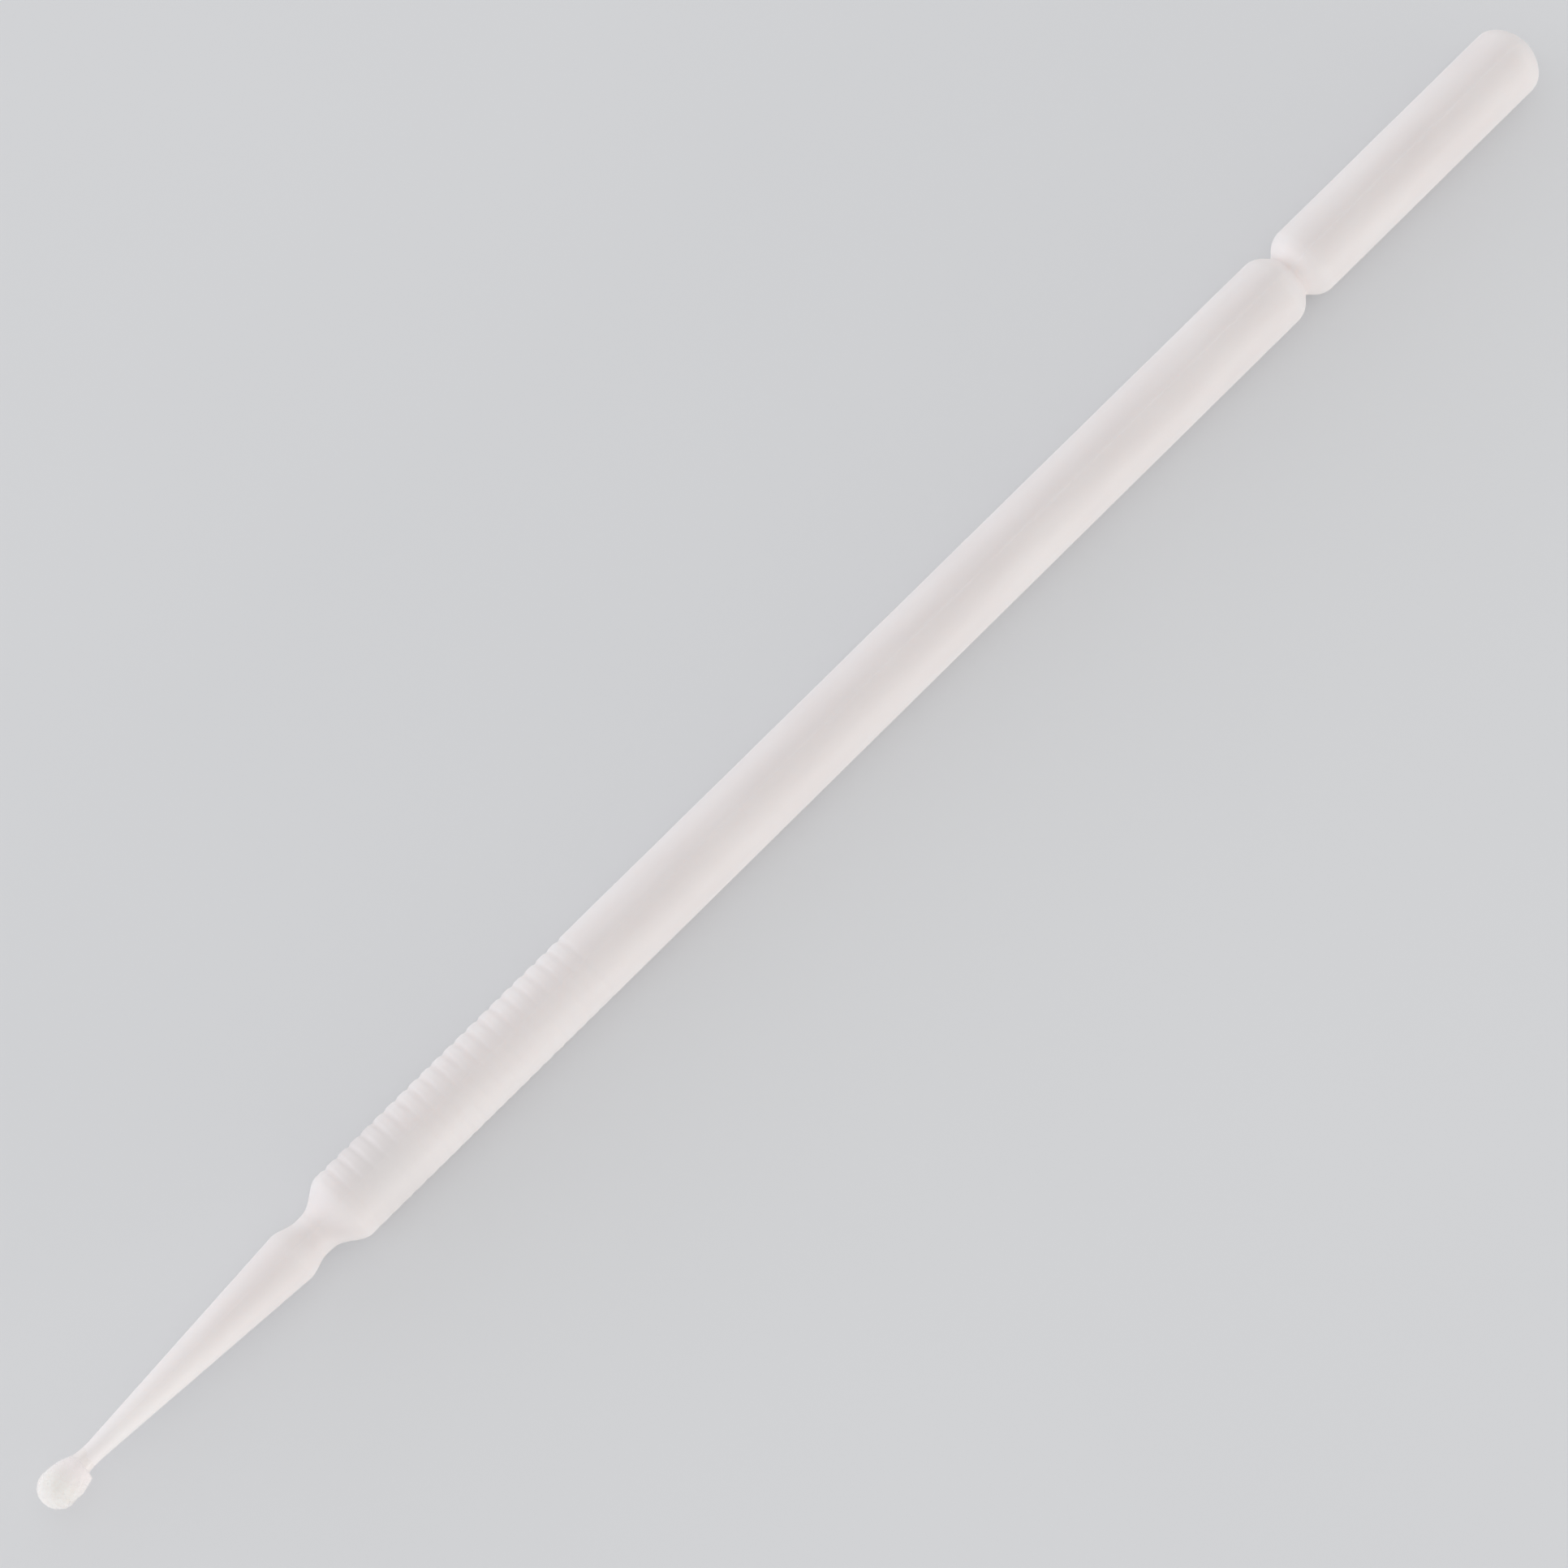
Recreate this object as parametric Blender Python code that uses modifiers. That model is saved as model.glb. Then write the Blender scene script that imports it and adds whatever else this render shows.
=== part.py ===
"""Disposable micro applicator: a moulded polypropylene stick with a flocked bulb on its thin end.

The stick lies along X with the bulb at -X, resting on the lowest flat of its shaft at Z = 0.
A station is a distance along the stick, measured from the nose of the bulb towards the tail.
"""

import math

import bpy

# Sizes in metres. Every turned diameter is measured across flats.
SIDES = 24
SHAFT_DIAMETER = 0.00372
SHAFT_LENGTH = 0.06263

# Flocked bulb and the glued stem inside it
PILE_LENGTH = 0.000395
FLOCK_LENGTH = 0.00245
FLOCK_EDGE = 0.00004
GLUE_THICKNESS = 0.00003
GLUE_COLLAR = 0.00050
STEM_DIAMETER = 0.00099
BARE_STEM = 0.00040

# Tapered head, up to its rim
TAPER_LENGTH = 0.01248
RIM_DIAMETER = 0.00266

# Neck that bends: down from the rim to the waist, along it, and up to the shaft
WAIST_DIAMETER = 0.00209
NECK_FRONT_LENGTH = 0.00130
WAIST_LENGTH = 0.00030
NECK_BACK_LENGTH = 0.00185

# Fine grip grooves round the front of the shaft
GRIP_COUNT = 21
GRIP_PITCH = 0.00076
GRIP_START = 0.00050
GRIP_GROOVE_WIDTH = 0.00040
GRIP_GROOVE_DEPTH = 0.00005

# V groove with rounded shoulders between the shaft and the tail
GROOVE_CORE_DIAMETER = 0.00244
GROOVE_SHOULDER_RADIUS = 0.00116
GROOVE_FLANK_ANGLE = math.radians(45)

# Tail with a domed butt and the flat that the mould's gate leaves on it
TAIL_LENGTH = 0.01585
BUTT_DEPTH = 0.00160
GATE_FLAT_DIAMETER = 0.00070

# Gap left between neighbouring solids
HAIRLINE = 0.00002

# Points along a curved stretch of a profile
CURVE_STEPS = 6

# Radii that follow from the sizes
SHAFT_RADIUS = SHAFT_DIAMETER / 2
RIM_RADIUS = RIM_DIAMETER / 2
WAIST_RADIUS = WAIST_DIAMETER / 2
STEM_RADIUS = STEM_DIAMETER / 2
GLUE_INNER_RADIUS = STEM_RADIUS + HAIRLINE
GLUE_OUTER_RADIUS = GLUE_INNER_RADIUS + GLUE_THICKNESS
SOCKET_RADIUS = GLUE_OUTER_RADIUS + HAIRLINE
BULB_RADIUS = SOCKET_RADIUS + PILE_LENGTH

# V groove: how far its rounded shoulder and its straight flank run
GROOVE_DEPTH = SHAFT_RADIUS - GROOVE_CORE_DIAMETER / 2
SHOULDER_RADIUS = min(GROOVE_SHOULDER_RADIUS, GROOVE_DEPTH / (1 - math.cos(GROOVE_FLANK_ANGLE)))
SHOULDER_DROP = SHOULDER_RADIUS * (1 - math.cos(GROOVE_FLANK_ANGLE))
SHOULDER_RUN = SHOULDER_RADIUS * math.sin(GROOVE_FLANK_ANGLE)
FLANK_RUN = (GROOVE_DEPTH - SHOULDER_DROP) / math.tan(GROOVE_FLANK_ANGLE)
GROOVE_HALF_WIDTH = SHOULDER_RUN + FLANK_RUN

# Stations along the stick
BULB_CENTRE = BULB_RADIUS
GLUE_END = FLOCK_LENGTH + GLUE_COLLAR
TAPER_START = GLUE_END + BARE_STEM
RIM = TAPER_START + TAPER_LENGTH
WAIST_START = RIM + NECK_FRONT_LENGTH
WAIST_END = WAIST_START + WAIST_LENGTH
SHAFT_START = WAIST_END + NECK_BACK_LENGTH
SHAFT_END = SHAFT_START + SHAFT_LENGTH
GROOVE_CENTRE = SHAFT_END + GROOVE_HALF_WIDTH
TAIL_START = GROOVE_CENTRE + GROOVE_HALF_WIDTH
BUTT_END = TAIL_START + TAIL_LENGTH
BEND_CENTRE = (WAIST_START + WAIST_END) / 2

# Colours are linear RGB
POLYPROPYLENE = (0.68, 0.65, 0.63)
FLOCK_WHITE = (0.78, 0.76, 0.74)
GLUE_CLEAR = (0.72, 0.70, 0.66)


def clear_scene():
    for obj in list(bpy.data.objects):
        bpy.data.objects.remove(obj, do_unlink=True)


def new_collection(name):
    collection = bpy.data.collections.new(name)
    bpy.context.scene.collection.children.link(collection)
    return collection


def new_material(name, colour, roughness):
    material = bpy.data.materials.new(name)
    material.use_nodes = True
    shader = material.node_tree.nodes["Principled BSDF"]
    shader.inputs["Base Color"].default_value = (*colour, 1)
    shader.inputs["Roughness"].default_value = roughness
    shader.inputs["Metallic"].default_value = 0
    return material


def axis_empty(name, station):
    """An empty on the stick's axis whose local Z points along the stick, towards the tail."""
    empty = bpy.data.objects.new(name, None)
    empty.location = (station - BUTT_END / 2, 0, SHAFT_RADIUS)
    empty.rotation_euler = (0, math.pi / 2, 0)
    applicator.objects.link(empty)
    return empty


def turned(name, profile, parent, station, material):
    """A solid of revolution about its parent's Z axis, which starts at the given station.

    The profile is a list of (station, radius) points whose outer side runs from nose to tail.
    Half a facet of turn puts a flat, not an edge, on the underside.
    """
    to_corner = 1 / math.cos(math.pi / SIDES)
    points = [(radius * to_corner, 0, along - station) for along, radius in reversed(profile)]
    edges = [(i, i + 1) for i in range(len(points) - 1)]
    mesh = bpy.data.meshes.new(name)
    mesh.from_pydata(points, edges, [])
    obj = bpy.data.objects.new(name, mesh)
    obj.parent = parent
    obj.rotation_euler.z = math.pi / SIDES
    screw = obj.modifiers.new("turn", "SCREW")
    screw.axis = "Z"
    screw.angle = 2 * math.pi
    screw.steps = SIDES
    screw.render_steps = SIDES
    screw.use_merge_vertices = True
    screw.merge_threshold = 0.000001
    screw.use_smooth_shade = True
    mesh.materials.append(material)
    applicator.objects.link(obj)
    return obj


def ellipse(centre, half_length, half_width, start, end):
    """Points on an ellipse centred on the axis, from one angle to another, with 0 towards the tail."""
    steps = [start + (end - start) * i / CURVE_STEPS for i in range(CURVE_STEPS + 1)]
    return [(centre + half_length * math.cos(a), half_width * max(math.sin(a), 0)) for a in steps]


def swept_curve(start, end):
    """A half-cosine run between two (station, radius) points, level at both of its ends."""
    points = []
    for i in range(CURVE_STEPS + 1):
        share = i / CURVE_STEPS
        rise = (1 - math.cos(math.pi * share)) / 2
        points.append((start[0] + (end[0] - start[0]) * share, start[1] + (end[1] - start[1]) * rise))
    return points


def round_cup(nose_radius, back):
    """A hemisphere about the bulb's centre with a straight wall behind it, from its nose to its back."""
    return ellipse(BULB_CENTRE, nose_radius, nose_radius, math.pi, math.pi / 2) + [(back, nose_radius)]


def grip_shaft():
    """Plain shaft with V-shaped grip grooves round its front."""
    profile = [(SHAFT_START, 0), (SHAFT_START, SHAFT_RADIUS)]
    for i in range(GRIP_COUNT):
        centre = SHAFT_START + GRIP_START + GRIP_PITCH * i
        profile.append((centre - GRIP_GROOVE_WIDTH / 2, SHAFT_RADIUS))
        profile.append((centre, SHAFT_RADIUS - GRIP_GROOVE_DEPTH))
        profile.append((centre + GRIP_GROOVE_WIDTH / 2, SHAFT_RADIUS))
    return profile + [(SHAFT_END, SHAFT_RADIUS), (SHAFT_END, 0)]


def bend_neck():
    """Waist between the head's rim and the shaft, thin enough to bend and stay bent."""
    front = RIM + HAIRLINE
    back = SHAFT_START - HAIRLINE
    down = swept_curve((front, RIM_RADIUS), (WAIST_START, WAIST_RADIUS))
    up = swept_curve((WAIST_END, WAIST_RADIUS), (back, SHAFT_RADIUS))
    return [(front, 0)] + down + up + [(back, 0)]


def tapered_head():
    """Thin stem with a round nose, widening in a straight taper to the rim."""
    stem = round_cup(STEM_RADIUS, TAPER_START)
    return stem + [(RIM, RIM_RADIUS), (RIM, 0)]


def glue_coat():
    """Thin cup of adhesive over the stem's nose, with a collar showing behind the flock."""
    return round_cup(GLUE_OUTER_RADIUS, GLUE_END) + round_cup(GLUE_INNER_RADIUS, GLUE_END)[::-1]


def flock_tip():
    """Bulb of upright fibres: a round nose, then an elliptical run down to a thin back edge."""
    edge_radius = SOCKET_RADIUS + FLOCK_EDGE
    edge_angle = math.asin(edge_radius / BULB_RADIUS)
    back_half_length = (FLOCK_LENGTH - BULB_CENTRE) / math.cos(edge_angle)
    nose = ellipse(BULB_CENTRE, BULB_RADIUS, BULB_RADIUS, math.pi, math.pi / 2)
    back = ellipse(BULB_CENTRE, back_half_length, BULB_RADIUS, math.pi / 2, edge_angle)
    return nose + back[1:] + round_cup(SOCKET_RADIUS, FLOCK_LENGTH)[::-1]


def groove_web():
    """Core of the V groove, with the groove's rounded shoulders and straight flanks."""
    shoulder = []
    for i in range(CURVE_STEPS + 1):
        angle = GROOVE_FLANK_ANGLE * i / CURVE_STEPS
        inward = SHOULDER_RADIUS * math.sin(angle)
        drop = SHOULDER_RADIUS * (1 - math.cos(angle))
        shoulder.append((GROOVE_HALF_WIDTH - inward, SHAFT_RADIUS - drop))
    shoulder[0] = (GROOVE_HALF_WIDTH - HAIRLINE, SHAFT_RADIUS)
    front = [(GROOVE_CENTRE - offset, radius) for offset, radius in shoulder]
    back = [(GROOVE_CENTRE + offset, radius) for offset, radius in reversed(shoulder)]
    bottom = (GROOVE_CENTRE, GROOVE_CORE_DIAMETER / 2)
    return [(front[0][0], 0)] + front + [bottom] + back + [(back[-1][0], 0)]


def tail_end():
    """Plain tail with an elliptical dome that stops at the gate's flat."""
    gate_angle = math.asin(GATE_FLAT_DIAMETER / SHAFT_DIAMETER)
    dome_base = BUTT_END - BUTT_DEPTH * math.cos(gate_angle)
    dome = ellipse(dome_base, BUTT_DEPTH, SHAFT_RADIUS, math.pi / 2, gate_angle)
    return [(TAIL_START, 0), (TAIL_START, SHAFT_RADIUS)] + dome + [(BUTT_END, 0)]


clear_scene()
applicator = new_collection("micro_applicator")

stick_axis = axis_empty("stick_axis", SHAFT_START)
neck_bend = axis_empty("neck_bend_axis", BEND_CENTRE)
tail_bend = axis_empty("tail_bend_axis", GROOVE_CENTRE)

# The handle stays still: shaft and both webs
turned(
    "grip_shaft", grip_shaft(), stick_axis, SHAFT_START,
    new_material("shaft_polypropylene", POLYPROPYLENE, 0.42),
)
turned(
    "bend_neck", bend_neck(), stick_axis, SHAFT_START,
    new_material("neck_polypropylene", POLYPROPYLENE, 0.42),
)
turned(
    "groove_web", groove_web(), stick_axis, SHAFT_START,
    new_material("web_polypropylene", POLYPROPYLENE, 0.42),
)

# The head bends at the neck's waist
turned(
    "tapered_head", tapered_head(), neck_bend, BEND_CENTRE,
    new_material("head_polypropylene", POLYPROPYLENE, 0.42),
)
turned(
    "glue_coat", glue_coat(), neck_bend, BEND_CENTRE,
    new_material("clear_adhesive", GLUE_CLEAR, 0.25),
)
turned(
    "flock_tip", flock_tip(), neck_bend, BEND_CENTRE,
    new_material("nylon_flock", FLOCK_WHITE, 0.95),
)

# The tail bends at the groove
turned(
    "tail_end", tail_end(), tail_bend, GROOVE_CENTRE,
    new_material("tail_polypropylene", POLYPROPYLENE, 0.42),
)
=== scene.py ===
"""Flocked micro applicator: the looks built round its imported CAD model.

The stick lies along X with the bulb at -X. A station is a distance along the stick, in metres,
measured from the nose of the bulb. A turn is an angle round the stick: 0 points to +Y, and a
quarter turn points straight up.
"""

import math

import bpy
import numpy as np
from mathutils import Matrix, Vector


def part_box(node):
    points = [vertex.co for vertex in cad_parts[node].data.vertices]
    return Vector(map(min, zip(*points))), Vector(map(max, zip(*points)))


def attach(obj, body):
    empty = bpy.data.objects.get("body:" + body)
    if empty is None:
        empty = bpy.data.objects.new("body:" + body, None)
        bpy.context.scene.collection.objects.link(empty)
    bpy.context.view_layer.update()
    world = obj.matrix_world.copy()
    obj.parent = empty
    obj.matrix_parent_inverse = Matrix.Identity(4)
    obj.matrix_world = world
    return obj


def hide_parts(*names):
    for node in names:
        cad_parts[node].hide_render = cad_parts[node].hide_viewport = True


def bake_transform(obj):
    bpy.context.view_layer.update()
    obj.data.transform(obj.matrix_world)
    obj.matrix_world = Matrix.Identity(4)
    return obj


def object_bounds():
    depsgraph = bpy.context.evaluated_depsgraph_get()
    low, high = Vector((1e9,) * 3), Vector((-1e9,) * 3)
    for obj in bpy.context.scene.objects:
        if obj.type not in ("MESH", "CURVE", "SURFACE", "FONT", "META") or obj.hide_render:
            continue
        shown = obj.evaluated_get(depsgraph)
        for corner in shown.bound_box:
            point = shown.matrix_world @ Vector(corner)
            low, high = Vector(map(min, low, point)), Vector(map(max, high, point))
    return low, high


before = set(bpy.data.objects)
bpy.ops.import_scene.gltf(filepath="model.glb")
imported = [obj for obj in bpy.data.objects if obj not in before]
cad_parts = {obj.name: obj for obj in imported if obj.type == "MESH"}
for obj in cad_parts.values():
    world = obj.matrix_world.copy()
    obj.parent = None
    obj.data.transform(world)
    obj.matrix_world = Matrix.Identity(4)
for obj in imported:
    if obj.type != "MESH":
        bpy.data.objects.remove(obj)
cad_low, cad_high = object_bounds()

MM = 0.001

# Where the stick lies, from the CAD nodes
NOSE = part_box("flock_tip")[0][0]
AXIS_HEIGHT = (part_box("grip_shaft")[0][2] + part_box("grip_shaft")[1][2]) / 2


def span(node):
    """First station, last station and largest radius of a CAD node."""
    low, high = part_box(node)
    return low[0] - NOSE, high[0] - NOSE, (high[2] - low[2]) / 2


FLOCK_END, BULB_RADIUS = span("flock_tip")[1:]
GLUE_END = span("glue_coat")[1]
RIM, RIM_RADIUS = span("tapered_head")[1:]
SHAFT_START, SHAFT_END, SHAFT_RADIUS = span("grip_shaft")
TAIL_START, BUTT_END, TAIL_RADIUS = span("tail_end")
GROOVE_CENTRE = (SHAFT_END + TAIL_START) / 2

# Sizes that lie inside the nodes, as the CAD has them, apart from the grip grooves and the butt
STEM_RADIUS = 0.495 * MM
TAPER_START = GLUE_END + 0.40 * MM
WAIST_START = RIM + 1.30 * MM
WAIST_END = WAIST_START + 0.30 * MM
WAIST_RADIUS = 1.045 * MM
GRIP_COUNT = 21
GRIP_PITCH = 0.76 * MM
GRIP_FIRST = SHAFT_START + 0.50 * MM
GRIP_WIDTH = 0.50 * MM
# The grooves were cut deeper in one half of the mould, towards +Y, than in the other
GRIP_DEPTH = 0.062 * MM
GRIP_DEPTH_OTHER_HALF = 0.016 * MM
# Cosines of the turn from the middle of the deep half, where the shallow half ends and where the full
# depth is reached
GRIP_CHANGE = (0.0, 0.75)
GROOVE_CORE_RADIUS = 1.22 * MM
SHOULDER_RADIUS = 1.16 * MM
FLANK_ANGLE = math.radians(45)
GROOVE_FILLET = 0.10 * MM
# Butt: a blunt point, as (along)^2.28 + (across)^1.4 = 1, ending just inside the CAD's flat
BUTT_TIP = BUTT_END - 0.08 * MM
BUTT_DEPTH = 1.50 * MM
BUTT_ALONG = 2.28
BUTT_ACROSS = 1.4
GATE_RADIUS = 0.20 * MM
# Rings of the gate mark, as shares of its radius, and how far each stands out of the butt: a lip, then
# a dimple
GATE_SHARES = np.array([0.93, 0.85, 0.72, 0.5, 0.25])
GATE_LIFTS = np.array([0.012, 0.018, 0.002, -0.010, -0.014]) * MM
GATE_DIMPLE = 0.015 * MM
# Rise from waist to shaft: above 1 keeps the waist longer and makes the shoulder sharper
SHOULDER_LATENESS = 1.1
# The moulding is made as two skins that meet on the flat between two grip grooves, where nothing
# bends
SEAM = GRIP_FIRST + 2.5 * GRIP_PITCH
HIDDEN_BALL_RADIUS = SHAFT_RADIUS - 0.08 * MM
HIDDEN_BALL_RINGS = 10
SHARP_ANGLE = math.radians(70)

# Fine raised line where the two halves of the mould met, along the top and the underside
PARTING_TURN = math.radians(92)
PARTING_HEIGHT = 0.020 * MM
PARTING_WIDTH = 0.055 * MM
# It has this share of its height near the head, and grows to the full height between the stations
PARTING_FAINT = 0.4
PARTING_GROWS = (38 * MM, 62 * MM)

# Steps round the stick, drawn together at the parting lines
STEPS_ROUND = 128
CROWDING = 0.85


def place(station, radius, turn):
    """Points in the row frame: x from the station, y and z from the radius at that turn."""
    x = NOSE + station + 0 * radius
    y = radius * np.cos(turn)
    z = AXIS_HEIGHT + radius * np.sin(turn)
    return np.stack(np.broadcast_arrays(x, y, z), axis=-1)


def on_axis(station):
    """Point in the row frame on the stick's axis."""
    return (float(NOSE + station), 0.0, float(AXIS_HEIGHT))


def crowded_turns():
    """Even steps u, moved to u - k sin(2(u - p)) / 2, so that they crowd round the parting lines p."""
    even = np.arange(STEPS_ROUND) * 2 * np.pi / STEPS_ROUND
    return even - CROWDING * np.sin(2 * (even - PARTING_TURN)) / 2


def joined_stations(*stretches):
    """Stations of the rings: each stretch is (first, last, count), and the joins aren't doubled."""
    pieces = [np.linspace(first, last, count, endpoint=False) for first, last, count in stretches]
    return np.concatenate(pieces + [np.array([stretches[-1][1]])])


def smooth_step(value, low, high):
    """0 below low, 1 above high, and 3t^2 - 2t^3 between them."""
    share = np.clip((value - low) / (high - low), 0, 1)
    return share * share * (3 - 2 * share)


def half_cosine(station, first, last, lateness=1):
    """0 before first, 1 after last, and between them half a cosine wave of the share to that power."""
    share = np.clip((station - first) / (last - first), 0, 1) ** lateness
    return (1 - np.cos(np.pi * share)) / 2


def moulded_radius(station):
    """Radius of the moulding at each station.

    A straight taper from stem to rim, a half cosine down to the waist and another up to the shaft, a V
    groove whose flanks run into round shoulders, and a blunt butt.
    """
    taper = np.clip((station - TAPER_START) / (RIM - TAPER_START), 0, 1)
    radius = STEM_RADIUS + (RIM_RADIUS - STEM_RADIUS) * taper
    radius = radius - (RIM_RADIUS - WAIST_RADIUS) * half_cosine(station, RIM, WAIST_START)
    rise = half_cosine(station, WAIST_END, SHAFT_START, SHOULDER_LATENESS)
    radius = radius + (SHAFT_RADIUS - WAIST_RADIUS) * rise

    # V groove: the flank is a straight slope, its foot a fillet, its shoulder an arc
    off = np.sqrt((station - GROOVE_CENTRE) ** 2 + GROOVE_FILLET**2) - GROOVE_FILLET
    run = (TAIL_START - SHAFT_END) / 2
    inward = np.clip(run - off, 0, None)
    arc_run = SHOULDER_RADIUS * math.sin(FLANK_ANGLE)
    on_arc = np.clip(inward, 0, arc_run)
    drop = SHOULDER_RADIUS - np.sqrt(SHOULDER_RADIUS**2 - on_arc**2)
    drop = drop + (inward - on_arc) * math.tan(FLANK_ANGLE)
    radius = radius - np.clip(drop, 0, SHAFT_RADIUS - GROOVE_CORE_RADIUS)

    butt = np.clip((station - BUTT_TIP + BUTT_DEPTH) / BUTT_DEPTH, 0, 1)
    return radius * (1 - butt**BUTT_ALONG) ** (1 / BUTT_ACROSS)


def grip_grooves(station, turn):
    """Depth of the grip grooves.

    A cosine squared across each groove, and a smooth step round the stick from one half to the other.
    """
    nearest = np.clip(np.round((station - GRIP_FIRST) / GRIP_PITCH), 0, GRIP_COUNT - 1)
    across = np.clip((station - GRIP_FIRST - nearest * GRIP_PITCH) / GRIP_WIDTH, -0.5, 0.5)
    half = smooth_step(np.cos(turn - PARTING_TURN + np.pi / 2), *GRIP_CHANGE)
    depth = GRIP_DEPTH_OTHER_HALF + (GRIP_DEPTH - GRIP_DEPTH_OTHER_HALF) * half
    return depth * np.cos(np.pi * across) ** 2


def parting_line(station, turn):
    """Height of the mould's parting line: a bell curve across it, lower towards the head."""
    angle = np.arctan2(np.sin(2 * (turn - PARTING_TURN)), np.cos(2 * (turn - PARTING_TURN))) / 2
    radius = moulded_radius(station)
    grown = smooth_step(station, *PARTING_GROWS)
    height = PARTING_HEIGHT * (PARTING_FAINT + (1 - PARTING_FAINT) * grown)
    return height * np.exp(-((angle * radius / PARTING_WIDTH) ** 2))


def grid_faces(rings, steps, closed_rings=False):
    """Quads between each ring of a grid and the next, closed round the ring."""
    ring = np.arange(rings if closed_rings else rings - 1)[:, None]
    step = np.arange(steps)[None, :]
    after = (ring + 1) % rings
    beside = (step + 1) % steps
    corners = (ring * steps + step, ring * steps + beside, after * steps + beside, after * steps + step)
    return np.stack(np.broadcast_arrays(*corners), axis=-1).reshape(-1, 4)


def end_fans(rings, steps):
    """Triangles that close the first ring on the pole after the grid, and the last on the next pole."""
    step = np.arange(steps)
    beside = (step + 1) % steps
    last = (rings - 1) * steps
    first_pole = np.full(steps, rings * steps)
    front = np.stack((first_pole, beside, step), axis=-1)
    back = np.stack((first_pole + 1, last + step, last + beside), axis=-1)
    return np.concatenate((front, back))


def new_piece(name, points, faces, material, smooth=True):
    """A mesh object at the origin, from an array of points and arrays of faces, shaded smooth or flat."""
    mesh = bpy.data.meshes.new(name)
    corners = [face for part in faces for face in part.tolist()]
    mesh.from_pydata(points.reshape(-1, 3).tolist(), [], corners)
    mesh.polygons.foreach_set("use_smooth", np.full(len(mesh.polygons), smooth))
    mesh.materials.append(material)
    mesh.update()
    obj = bpy.data.objects.new(name, mesh)
    bpy.context.scene.collection.objects.link(obj)
    return obj


def linear(hex_colour):
    """Linear RGBA from an sRGB hex colour."""
    values = np.array([int(hex_colour[i : i + 2], 16) for i in (1, 3, 5)]) / 255
    low = values / 12.92
    high = ((values + 0.055) / 1.055) ** 2.4
    return (*np.where(values <= 0.04045, low, high).tolist(), 1.0)


def add(tree, kind, values=None, links=None, **settings):
    """A node of that kind with its settings, its input values and its links from (node, output)."""
    node = tree.nodes.new(kind)
    for key, value in settings.items():
        setattr(node, key, value)
    for key, value in (values or {}).items():
        node.inputs[key].default_value = value
    for key, (source, output) in (links or {}).items():
        tree.links.new(source.outputs[output], node.inputs[key])
    return node


def new_material(name):
    """A material, and its node tree, emptied."""
    material = bpy.data.materials.new(name)
    material.use_nodes = True
    tree = material.node_tree
    tree.nodes.clear()
    return material, tree


def distance_fade(tree, parts, x, reach, least=0):
    """Node that rises smoothly from the least value at that x to 1 at the reach, to either side of it."""
    off = add(tree, "ShaderNodeMath", {1: x}, {0: (parts, "X")}, operation="SUBTRACT")
    away = add(tree, "ShaderNodeMath", links={0: (off, "Value")}, operation="ABSOLUTE")
    return add(
        tree, "ShaderNodeMapRange", {"From Min": 0.08 * reach, "From Max": reach, "To Min": least},
        {"Value": (away, "Value")}, interpolation_type="SMOOTHSTEP",
    )


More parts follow.
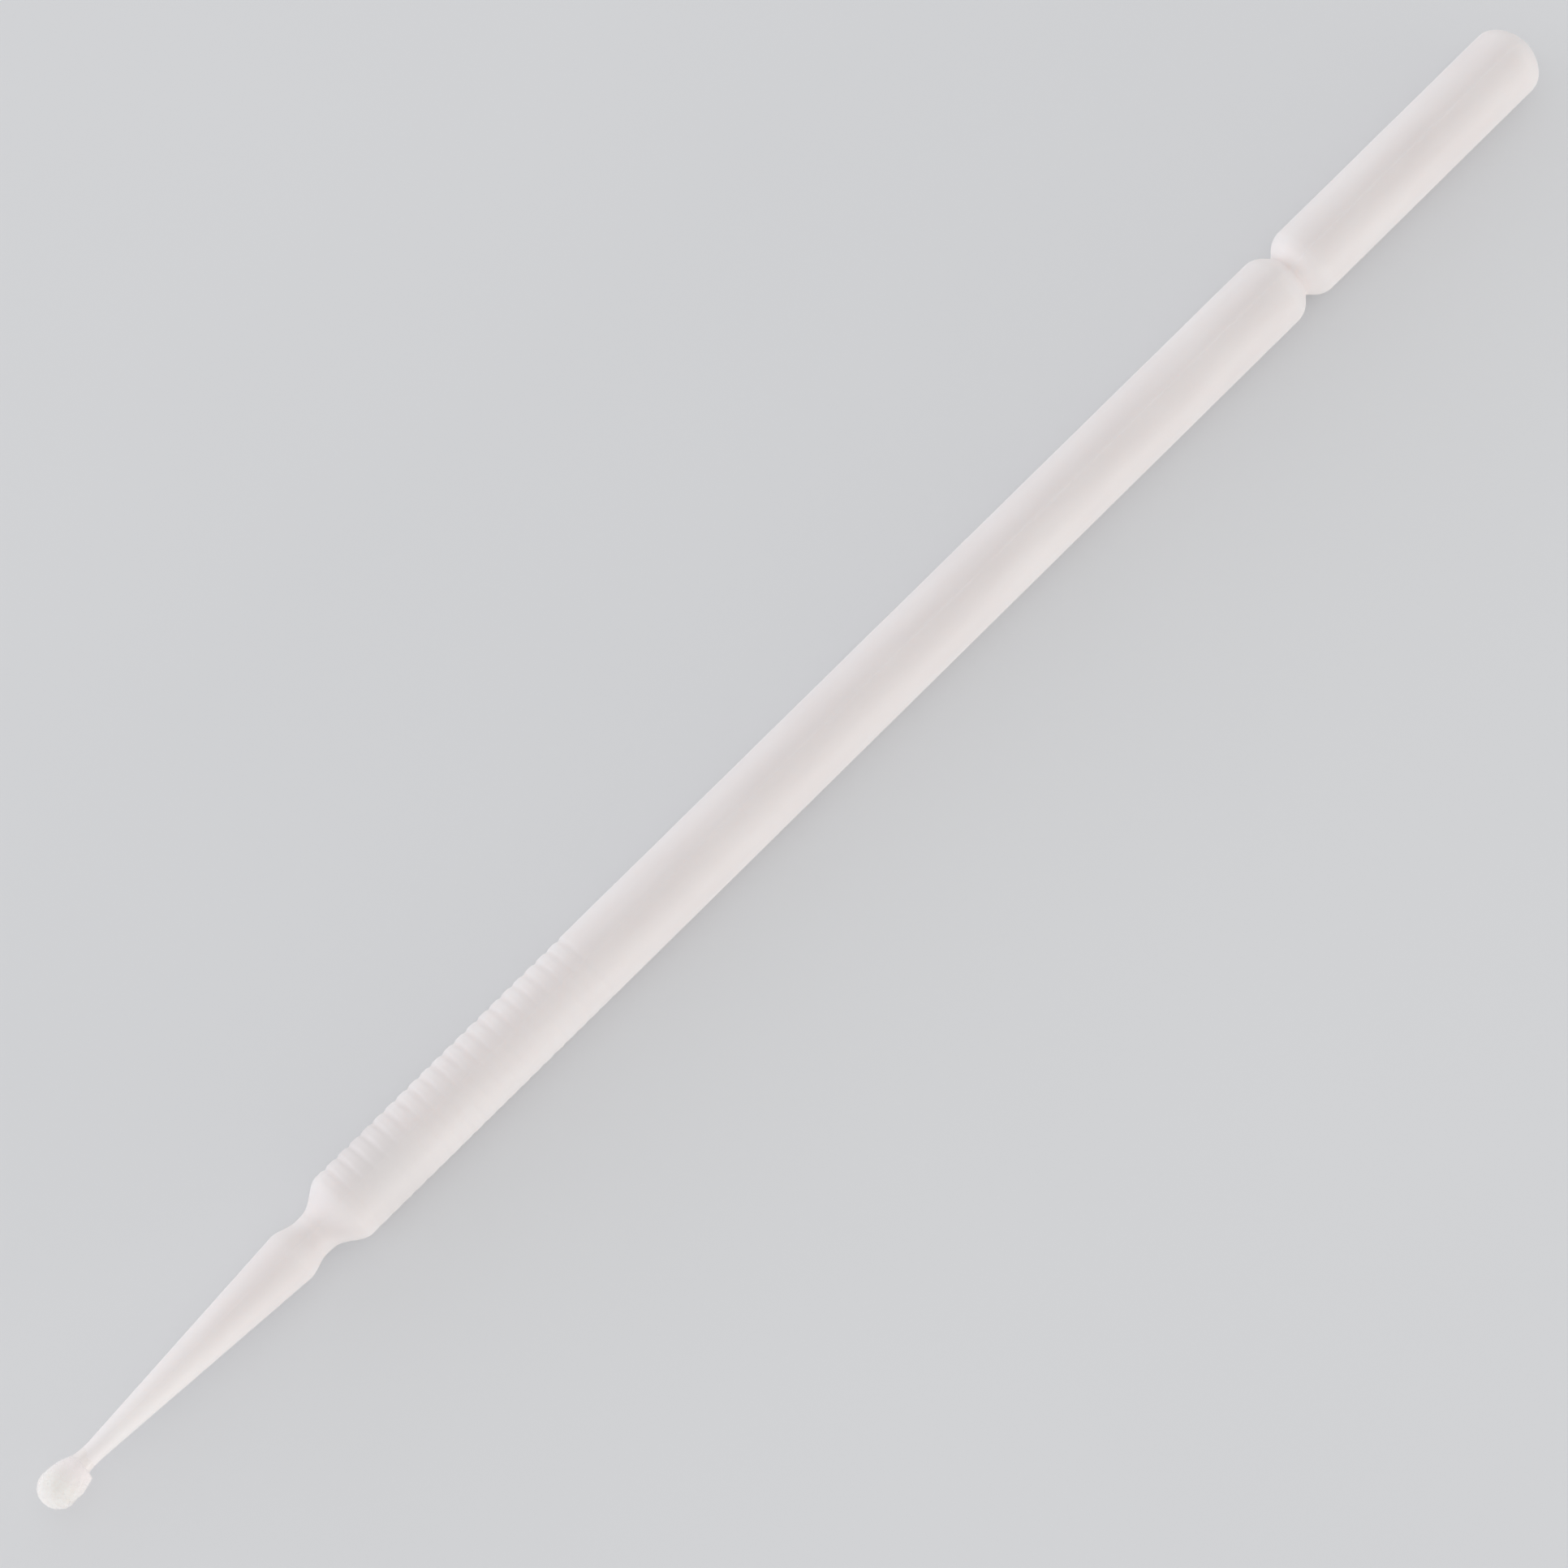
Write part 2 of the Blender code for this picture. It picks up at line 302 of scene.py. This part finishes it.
def milky_polypropylene():
    """Natural polypropylene, injection moulded in a fine spark-eroded mould.

    Light goes in about a millimetre, so edges glow and shade is soft. The skin is satin, with faint
    clouds along the flow and a fine grain.
    """
    material, tree = new_material("milky_polypropylene")
    place_node = add(tree, "ShaderNodeTexCoord")
    # Clouds 2 mm across and 8 mm long, drawn out along the flow
    flow = add(
        tree, "ShaderNodeMapping", {"Scale": (0.25, 1, 1)}, {"Vector": (place_node, "Object")}
    )
    clouds = add(
        tree, "ShaderNodeTexNoise", {"Scale": 1 / (2 * MM), "Detail": 3, "Roughness": 0.55},
        {"Vector": (flow, "Vector")},
    )
    tone = add(tree, "ShaderNodeValToRGB", links={"Fac": (clouds, "Fac")})
    tone.color_ramp.elements[0].position = 0.30
    tone.color_ramp.elements[0].color = linear("#E8E3E2")
    tone.color_ramp.elements[1].position = 0.70
    tone.color_ramp.elements[1].color = linear("#ECE8E7")
    # Spark-eroded grain, 0.04 mm in a real mould, drawn at 0.09 mm so that it shows
    grain = add(
        tree, "ShaderNodeTexNoise", {"Scale": 1 / (0.09 * MM), "Detail": 2, "Roughness": 0.6},
        {"Vector": (place_node, "Object")},
    )
    satin = add(
        tree, "ShaderNodeMapRange", {"To Min": 0.48, "To Max": 0.58}, {"Value": (clouds, "Fac")}
    )
    relief = add(
        tree, "ShaderNodeBump", {"Strength": 0.25, "Distance": 0.004 * MM}, {"Height": (grain, "Fac")}
    )
    # Light that goes in next to the flock or the seam would be lost on hidden faces, so there the skin
    # scatters it at once
    parts = add(tree, "ShaderNodeSeparateXYZ", links={"Vector": (place_node, "Object")})
    from_flock = distance_fade(tree, parts, NOSE + GLUE_END, 2.5 * MM)
    from_seam = distance_fade(tree, parts, NOSE + SEAM, 2.5 * MM)
    depth = add(
        tree, "ShaderNodeMath", links={0: (from_flock, "Result"), 1: (from_seam, "Result")},
        operation="MULTIPLY",
    )
    # Painted light: the thin stem and the thin web in the V groove get a paler colour. It stands for
    # light that comes through them, and it lifts the shade at the groove's foot
    from_groove = distance_fade(tree, parts, NOSE + GROOVE_CENTRE, 0.8 * MM, 0.5)
    unpainted_tone_share = add(
        tree, "ShaderNodeMath", links={0: (from_flock, "Result"), 1: (from_groove, "Result")},
        operation="MULTIPLY",
    )
    # Painted light: the tone goes towards a paler colour where the share falls, next to the flock and in
    # the groove
    shade = add(
        tree, "ShaderNodeMix", {6: linear("#F8F3F2")}, {0: (unpainted_tone_share, "Value"), 7: (tone, "Color")},
        data_type="RGBA",
    )
    skin = add(
        tree, "ShaderNodeBsdfPrincipled",
        {
            "Subsurface Radius": (1.0, 0.94, 0.90),
            "Subsurface Scale": 1.2 * MM,
            "IOR": 1.49,
        },
        {
            "Base Color": (shade, 2),
            "Roughness": (satin, "Result"),
            "Normal": (relief, "Normal"),
            "Subsurface Weight": (depth, "Value"),
        },
    )
    add(tree, "ShaderNodeOutputMaterial", links={"Surface": (skin, "BSDF")})
    return material


def nylon_flock(name, depth, dark, pale):
    """Cut white nylon fibre, stood upright in glue: matt and warm white, with a pale velvet edge.

    Depth is how far light goes in: nothing in a single fibre end, and about the bulb's radius in the
    dense pile, which glows. The glow fades out where the pile thins towards the collar.
    """
    material, tree = new_material(name)
    place_node = add(tree, "ShaderNodeTexCoord")
    # Tufts 0.12 mm across
    tufts = add(
        tree, "ShaderNodeTexNoise", {"Scale": 1 / (0.12 * MM), "Detail": 2},
        {"Vector": (place_node, "Object")},
    )
    tone = add(tree, "ShaderNodeValToRGB", links={"Fac": (tufts, "Fac")})
    tone.color_ramp.elements[0].position = 0.32
    tone.color_ramp.elements[0].color = linear(dark)
    tone.color_ramp.elements[1].position = 0.66
    tone.color_ramp.elements[1].color = linear(pale)
    relief = add(
        tree, "ShaderNodeBump", {"Strength": 0.3, "Distance": 0.01 * MM}, {"Height": (tufts, "Fac")}
    )
    pile = add(
        tree, "ShaderNodeBsdfPrincipled",
        {
            "Roughness": 0.9,
            "IOR": 1.53,
            "Sheen Weight": 0.5,
            "Sheen Roughness": 0.5,
            "Subsurface Radius": (1.0, 1.0, 1.0),
            "Subsurface Scale": depth,
        },
        {"Base Color": (tone, "Color"), "Normal": (relief, "Normal")},
    )
    if depth > 0:
        parts = add(tree, "ShaderNodeSeparateXYZ", links={"Vector": (place_node, "Object")})
        glow = add(
            tree, "ShaderNodeMapRange",
            {"From Min": NOSE + GLOW_GONE, "From Max": NOSE + GLOW_FULL}, {"Value": (parts, "X")},
        )
        tree.links.new(glow.outputs["Result"], pile.inputs["Subsurface Weight"])
        # The thin pile at the back lets the white stem show through
        shade = add(
            tree, "ShaderNodeMix", {6: linear("#FDF6F5")}, {0: (glow, "Result"), 7: (tone, "Color")},
            data_type="RGBA",
        )
        tree.links.new(shade.outputs[2], pile.inputs["Base Color"])
    add(tree, "ShaderNodeOutputMaterial", links={"Surface": (pile, "BSDF")})
    return material


def cured_adhesive():
    """Clear adhesive dried on the stem: a smooth wet-looking skin, paler than the plastic."""
    material, tree = new_material("cured_adhesive")
    place_node = add(tree, "ShaderNodeTexCoord")
    # Runs 0.25 mm across
    runs = add(
        tree, "ShaderNodeTexNoise", {"Scale": 1 / (0.25 * MM), "Detail": 1},
        {"Vector": (place_node, "Object")},
    )
    tone = add(tree, "ShaderNodeValToRGB", links={"Fac": (runs, "Fac")})
    tone.color_ramp.elements[0].position = 0.30
    tone.color_ramp.elements[0].color = linear("#F6F0ED")
    tone.color_ramp.elements[1].position = 0.70
    tone.color_ramp.elements[1].color = linear("#F9F4F2")
    relief = add(
        tree, "ShaderNodeBump", {"Strength": 0.3, "Distance": 0.01 * MM}, {"Height": (runs, "Fac")}
    )
    coat = add(
        tree, "ShaderNodeBsdfPrincipled", {"Roughness": 0.22, "IOR": 1.47},
        {"Base Color": (tone, "Color"), "Normal": (relief, "Normal")},
    )
    add(tree, "ShaderNodeOutputMaterial", links={"Surface": (coat, "BSDF")})
    return material


def hidden_ball(way, turn):
    """Rings of half a ball about the seam's centre, inside the neighbouring skin, in order of station.

    Each skin of the moulding ends in one, so that light passes the seam as in one solid.
    """
    angle = np.linspace(0, np.pi / 2, HIDDEN_BALL_RINGS + 1)[:-1]
    angle = (angle if way > 0 else -angle[::-1])[:, None]
    radius = HIDDEN_BALL_RADIUS * np.cos(angle) + 0 * turn
    return place(SEAM + HIDDEN_BALL_RADIUS * np.sin(angle), radius, turn)


def turned_skin(name, rings, poles, material):
    """A closed skin of rings round the stick, with a pole at each end.

    Edges are sharp where the skin turns in at the seam, so that the shading beside them stays level.
    """
    faces = (grid_faces(len(rings), STEPS_ROUND), end_fans(len(rings), STEPS_ROUND))
    points = np.concatenate((rings.reshape(-1, 3), np.array(poles)))
    obj = new_piece(name, points, faces, material)
    obj.data.set_sharp_from_angle(angle=SHARP_ANGLE)
    return obj


def head_and_neck(material):
    """Stem, taper, neck and the first grip grooves in one skin, from the stem's round nose to the seam.

    Rings of the moulded radius with the parting line added and the grip grooves taken off.
    """
    centre = BULB_RADIUS
    nose_angle = np.linspace(0.08, 1, 10)[:-1] * np.pi / 2
    nose = centre - STEM_RADIUS * np.cos(nose_angle)
    body = joined_stations(
        (centre, TAPER_START, 10),
        (TAPER_START, RIM, 40),
        (RIM, SHAFT_START, 60),
        (SHAFT_START, SEAM, 45),
    )
    station = np.concatenate((nose, body))[:, None]
    turn = crowded_turns()[None, :]
    in_nose = np.clip((centre - station) / STEM_RADIUS, 0, 1)
    radius = moulded_radius(station) * np.sqrt(1 - in_nose**2)
    radius = radius + parting_line(station, turn) * (in_nose < 0.5) - grip_grooves(station, turn)
    rings = np.concatenate((place(station, radius, turn), hidden_ball(1, turn)))
    poles = (on_axis(centre - STEM_RADIUS), on_axis(SEAM + HIDDEN_BALL_RADIUS))
    return turned_skin("moulded_head_and_neck", rings, poles, material)


def shaft_and_tail(material):
    """Grip shaft, V groove and tail in one skin, from the seam over the blunt butt to the gate mark.

    Rings of the moulded radius with the parting line added and the grip grooves taken off. The gate mark
    has a low torn lip and a dimple.
    """
    grip_end = GRIP_FIRST + GRIP_COUNT * GRIP_PITCH
    butt_start = BUTT_TIP - BUTT_DEPTH
    last_angle = math.acos((GATE_RADIUS / TAIL_RADIUS) ** (BUTT_ACROSS / 2))
    butt = butt_start + BUTT_DEPTH * np.sin(np.linspace(0, last_angle, 30)[1:]) ** (2 / BUTT_ALONG)
    body = joined_stations(
        (SEAM, grip_end, 263),
        (grip_end, SHAFT_END, 50),
        (SHAFT_END, TAIL_START, 56),
        (TAIL_START, butt_start, 18),
    )
    station = np.concatenate((body, butt))[:, None]
    turn = crowded_turns()[None, :]
    fade = 1 - smooth_step(station, butt_start, BUTT_TIP)
    radius = moulded_radius(station) + parting_line(station, turn) * fade - grip_grooves(station, turn)
    lip = GATE_LIFTS[:, None]
    torn = 1 + 0.45 * np.sin(3 * turn + 0.6) + 0.3 * np.sin(7 * turn + 2.1)
    last = float(station[-1, 0])
    gate_radius = GATE_RADIUS * GATE_SHARES[:, None] + 0 * turn
    gate = place(last + lip * np.where(lip > 0, torn, 1), gate_radius, turn)
    rings = np.concatenate((hidden_ball(-1, turn), place(station, radius, turn), gate))
    poles = (on_axis(SEAM - HIDDEN_BALL_RADIUS), on_axis(last - GATE_DIMPLE))
    return turned_skin("moulded_shaft_and_tail", rings, poles, material)


# The flock sits a little to one side: thick and blunt there, thin and long opposite
HEAVY_TURN = math.radians(190)
FLOCK_LEAN = 0.05 * MM
FLOCK_LUMPS = 0.028 * MM
CORE_DEPTH = 0.020 * MM
FLOCK_STEPS = 96
# Half length of the ellipse behind the nose, and the station of the back edge: the value on the light
# side, and what the heavy side adds
FLOCK_BACK = (1.86 * MM, 0.50 * MM)
FLOCK_EDGE = (2.62 * MM, -0.22 * MM)
# The glow in the pile is full before the first of these stations and gone after the second
GLOW_FULL = 1.1 * MM
GLOW_GONE = 2.1 * MM
# The adhesive starts under the flock
COLLAR_START = 1.9 * MM
# Fibre ends: a few stand out further than the rest
FIBRE_COUNT = 11000
FIBRE_RADIUS = 0.008 * MM
FIBRE_ROOT = 0.05 * MM
FIBRE_POINT = 0.012 * MM
FIBRE_LEAN = 0.22
FIBRE_SPREAD = 0.012 * MM
FIBRE_LIMIT = 0.03 * MM
LONG_FIBRE = 0.05 * MM
LONG_SHARE = 0.03


def heavy_share(turn):
    """1 on the heavy side of the flock, 0 on the light side, and a cosine between them."""
    return (1 + np.cos(turn - HEAVY_TURN)) / 2


def flock_surface(share, turn):
    """Skin of the flocked bulb. Share runs from 0 at the nose to 1 at the back edge.

    A round nose runs into half an ellipse behind it. The ellipse is longer and ends later on the light
    side, and the whole is moved sideways by the lean. Low lumps come from a sum of sines, with finer
    and higher tufts on the heavy side.
    """
    heavy = heavy_share(turn)
    back_half = FLOCK_BACK[0] + FLOCK_BACK[1] * heavy
    end = FLOCK_EDGE[0] + FLOCK_EDGE[1] * heavy
    edge = np.arcsin(np.clip((end - BULB_RADIUS) / back_half, 0, 0.97))
    angle = -np.pi / 2 + share * (np.pi / 2 + edge)
    length = np.where(angle < 0, BULB_RADIUS, back_half)
    station = BULB_RADIUS + length * np.sin(angle)
    radius = BULB_RADIUS * np.cos(angle)
    lumps = np.sin(5 * turn + 9 * share) * np.sin(11 * share + 2 * turn + 0.7)
    lumps = lumps + 0.6 * np.sin(9 * turn - 14 * share + 1.3) * np.sin(17 * share + 0.4)
    tufts = np.sin(31 * share + 4 * turn) * np.cos(9 * turn - 6 * share)
    lumps = (0.6 + 0.6 * heavy) * lumps + 1.8 * heavy**2 * tufts
    radius = radius + FLOCK_LUMPS * lumps * np.sin(np.pi * np.clip(share, 0, 1)) ** 0.5
    points = place(station, radius, turn)
    lean = FLOCK_LEAN * np.clip(np.cos(angle), 0, 1)
    points[..., 1] += lean * math.cos(HEAVY_TURN)
    points[..., 2] += lean * math.sin(HEAVY_TURN)
    return points


def surface_normals(share, turn):
    """Outward unit normals of the flock's skin, from the cross product of its two small differences."""
    step = 0.002
    along = flock_surface(share + step, turn) - flock_surface(share - step, turn)
    around = flock_surface(share, turn + step) - flock_surface(share, turn - step)
    normal = np.cross(around, along)
    return normal / np.linalg.norm(normal, axis=-1, keepdims=True)


def flock_core(material):
    """Dense inner part of the flock.

    The flock's skin moved inwards along its normals, with one more ring that closes it on the stem.
    """
    share = np.linspace(0.03, 1, 40)[:, None]
    turn = np.linspace(0, 2 * np.pi, FLOCK_STEPS, endpoint=False)[None, :]
    core = flock_surface(share, turn) - CORE_DEPTH * surface_normals(share, turn)
    inner = place(core[-1, :, 0] - NOSE - 0.05 * MM, np.full(FLOCK_STEPS, STEM_RADIUS * 0.8), turn[0])
    core = np.concatenate((core, inner[None]))
    nose_pole = core[0].mean(axis=0)
    nose_pole[0] = core[0, :, 0].min()
    back_pole = np.array(on_axis(FLOCK_END - 0.1 * MM))
    points = np.concatenate((core.reshape(-1, 3), nose_pole[None], back_pole[None]))
    faces = (grid_faces(len(core), FLOCK_STEPS), end_fans(len(core), FLOCK_STEPS))
    return new_piece("flock_core", points, faces, material)


def flock_fibres(material):
    """Thousands of fibre ends that stand out of the core.

    They lie at golden-angle turns and even areas of the skin. Each is a three-sided spike along the
    skin's normal with a small seeded lean, from inside the core to about the skin.
    """
    rng = np.random.default_rng(71)
    count = FIBRE_COUNT
    fine = np.linspace(0.01, 0.995, 400)
    around = np.linspace(0, 2 * np.pi, FLOCK_STEPS, endpoint=False)[None, :]
    ring = flock_surface(fine[:, None], around)
    stretch = np.linalg.norm(np.diff(ring, axis=0), axis=-1).mean(axis=1)
    girth = np.linalg.norm(ring - ring.mean(axis=1, keepdims=True), axis=-1).mean(axis=1)
    area = np.concatenate(([0], np.cumsum(stretch * (girth[1:] + girth[:-1]) / 2)))
    number = np.arange(count)
    share = np.interp((number + rng.random(count)) / count * area[-1], area, fine)
    turn = (number * np.pi * (3 - math.sqrt(5)) + rng.normal(0, 0.03, count)) % (2 * np.pi)

    lean = surface_normals(share, turn) + rng.normal(0, FIBRE_LEAN, (count, 3))
    lean = lean / np.linalg.norm(lean, axis=-1, keepdims=True)
    height = rng.normal(0.0, FIBRE_SPREAD, count).clip(-FIBRE_LIMIT, FIBRE_LIMIT)
    height = height + LONG_FIBRE * (rng.random(count) < LONG_SHARE)
    tip = flock_surface(share, turn) + lean * height[:, None]
    root = tip - lean * (height[:, None] + FIBRE_ROOT)
    shoulder = tip - lean * FIBRE_POINT
    side = np.cross(lean, np.array([0.31, 0.74, 0.59]))
    side = side / np.linalg.norm(side, axis=-1, keepdims=True)
    other = np.cross(lean, side)
    corner = np.arange(3)[None, :, None] * 2 * np.pi / 3
    out = FIBRE_RADIUS * (side[:, None] * np.cos(corner) + other[:, None] * np.sin(corner))
    points = np.concatenate((root[:, None] + out, shoulder[:, None] + out, tip[:, None]), axis=1)
    first = 7 * number[:, None, None]
    walls = first + np.array([[0, 1, 4, 3], [1, 2, 5, 4], [2, 0, 3, 5]])[None]
    caps = first + np.array([[3, 4, 6], [4, 5, 6], [5, 3, 6], [0, 2, 1]])[None]
    faces = (walls.reshape(-1, 4), caps.reshape(-1, 3))
    return new_piece("flock_fibres", points, faces, material, smooth=False)


def adhesive_collar(material):
    """Ring of dried adhesive that creeps out from under the flock and thins away along the stem.

    A closed profile carried round the stem: the outer side falls as a square from the flock to an
    uneven back edge, and the inner side lies just inside the stem.
    """
    turn = np.linspace(0, 2 * np.pi, FLOCK_STEPS, endpoint=False)[None, :]
    heavy = heavy_share(turn)
    uneven = 0.06 * np.sin(2 * turn + 0.5) + 0.04 * np.sin(5 * turn + 1.9) + 0.025 * np.sin(9 * turn)
    back = GLUE_END + (0.16 - 0.22 * heavy + uneven) * MM
    share = np.linspace(0, 1, 28)[:, None]
    station = COLLAR_START + (back - COLLAR_START) * share
    thickness = (0.20 - 0.07 * heavy) * MM * (1 - share) ** 2 + 0.012 * MM * (1 - 1.4 * share**6)
    outer = place(station, STEM_RADIUS + thickness, turn)
    inner = place(station[::-1], STEM_RADIUS * 0.97 + 0 * thickness, turn)
    rings = np.concatenate((outer, inner))
    faces = (grid_faces(len(rings), FLOCK_STEPS, True),)
    return new_piece("adhesive_collar", rings, faces, material)


plastic = milky_polypropylene()
pile = nylon_flock("nylon_flock_pile", 0.8 * MM, "#FCF1EC", "#FDF6F2")
fibre_ends = nylon_flock("nylon_flock_ends", 0, "#FCFAFA", "#FEFDFD")
glue = cured_adhesive()

head = head_and_neck(plastic)
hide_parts("tapered_head", "bend_neck")
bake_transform(head)

shaft = shaft_and_tail(plastic)
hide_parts("grip_shaft", "groove_web", "tail_end")
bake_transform(shaft)

core = flock_core(pile)
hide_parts("flock_tip")
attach(core, "head")

fibres = flock_fibres(fibre_ends)
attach(fibres, "head")

collar = adhesive_collar(glue)
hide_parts("glue_coat")
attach(collar, "head")


def pale_floor():
    """Plain floor under the stick, a matt pale grey with a very faint mottle."""
    material, tree = new_material("pale_matt_board")
    place_node = add(tree, "ShaderNodeTexCoord")
    mottle = add(
        tree, "ShaderNodeTexNoise", {"Scale": 1 / (30 * MM), "Detail": 2},
        {"Vector": (place_node, "Object")},
    )
    tone = add(tree, "ShaderNodeValToRGB", links={"Fac": (mottle, "Fac")})
    tone.color_ramp.elements[0].color = linear("#E6E8EA")
    tone.color_ramp.elements[1].color = linear("#E9EBED")
    board = add(
        tree, "ShaderNodeBsdfPrincipled", {"Roughness": 0.9}, {"Base Color": (tone, "Color")}
    )
    add(tree, "ShaderNodeOutputMaterial", links={"Surface": (board, "BSDF")})
    half = 3.0
    corners = np.array([[-half, -half, 0], [half, -half, 0], [half, half, 0], [-half, half, 0]])
    corners[:, 2] = cad_low[2]
    floor = new_piece("floor", corners, (np.array([[0, 1, 2, 3]]),), material)
    return floor


def aim_from(place_at, target):
    """Turn that points an object's -Z from one place to another with its X level."""
    return (Vector(target) - Vector(place_at)).to_track_quat("-Z", "Y").to_euler()


def soft_lamp(name, place_at, target, size, watts, hex_colour):
    """Rectangular soft box that faces the target, its long side level."""
    lamp = bpy.data.lights.new(name, "AREA")
    lamp.shape = "RECTANGLE"
    lamp.size = size[0]
    lamp.size_y = size[1]
    lamp.energy = watts
    lamp.color = linear(hex_colour)[:3]
    obj = bpy.data.objects.new(name, lamp)
    obj.location = place_at
    obj.rotation_euler = aim_from(place_at, target)
    obj.visible_camera = False
    bpy.context.scene.collection.objects.link(obj)
    return obj


pale_floor()
soft_lamp("cool_side_box", (-0.82, 0.72, 0.12), (0, 0, 0.002), (1.0, 0.16), 3.0, "#F4F6FF")
soft_lamp("warm_side_box", (0.10, -1.10, 0.10), (0, 0, 0.002), (1.4, 0.16), 3.4, "#FFFBF6")
soft_lamp("top_box", (0.0, 0.05, 0.60), (0, 0, 0), (0.5, 0.5), 0.16, "#FFFAF8")

# Studio tent: brighter walls than roof, so that the sides of the stick are lit as well as its top. The
# roof's dark middle leans to -Y.
world = bpy.data.worlds.new("studio_tent")
world.use_nodes = True
bpy.context.scene.world = world
tent = world.node_tree
tent.nodes.clear()
direction = add(tent, "ShaderNodeTexCoord")
rise = add(
    tent, "ShaderNodeVectorMath", {1: (0, -0.20, 0.98)}, {0: (direction, "Generated")},
    operation="DOT_PRODUCT",
)
walls = add(tent, "ShaderNodeValToRGB", links={"Fac": (rise, "Value")})
walls.color_ramp.interpolation = "EASE"
walls.color_ramp.elements[0].color = linear("#FEFEFF")
walls.color_ramp.elements[1].color = linear("#CBCACA")
light = add(tent, "ShaderNodeBackground", {"Strength": 1.0}, {"Color": (walls, "Color")})
add(tent, "ShaderNodeOutputWorld", links={"Surface": (light, "Background")})

# Camera at the photo's angle: nearly overhead, with the bulb at the lower left
CAMERA_AZIMUTH = math.radians(-45.536)
CAMERA_ELEVATION = math.radians(75)
CAMERA_DISTANCE = 0.27
CAMERA_LENS = 131.56
CAMERA_AIM = (-0.00212, -0.00039, 0.0019)
ahead = (
    -math.sin(CAMERA_AZIMUTH) * math.cos(CAMERA_ELEVATION),
    math.cos(CAMERA_AZIMUTH) * math.cos(CAMERA_ELEVATION),
    -math.sin(CAMERA_ELEVATION),
)
camera_data = bpy.data.cameras.new("photo_camera")
camera_data.sensor_width = 36
camera_data.lens = CAMERA_LENS
camera_data.clip_start = 0.01
camera = bpy.data.objects.new("photo_camera", camera_data)
camera.location = [aim - CAMERA_DISTANCE * part for aim, part in zip(CAMERA_AIM, ahead)]
camera.rotation_euler = aim_from(camera.location, CAMERA_AIM)
bpy.context.scene.collection.objects.link(camera)
bpy.context.scene.camera = camera

bpy.context.scene.view_settings.view_transform = "Standard"
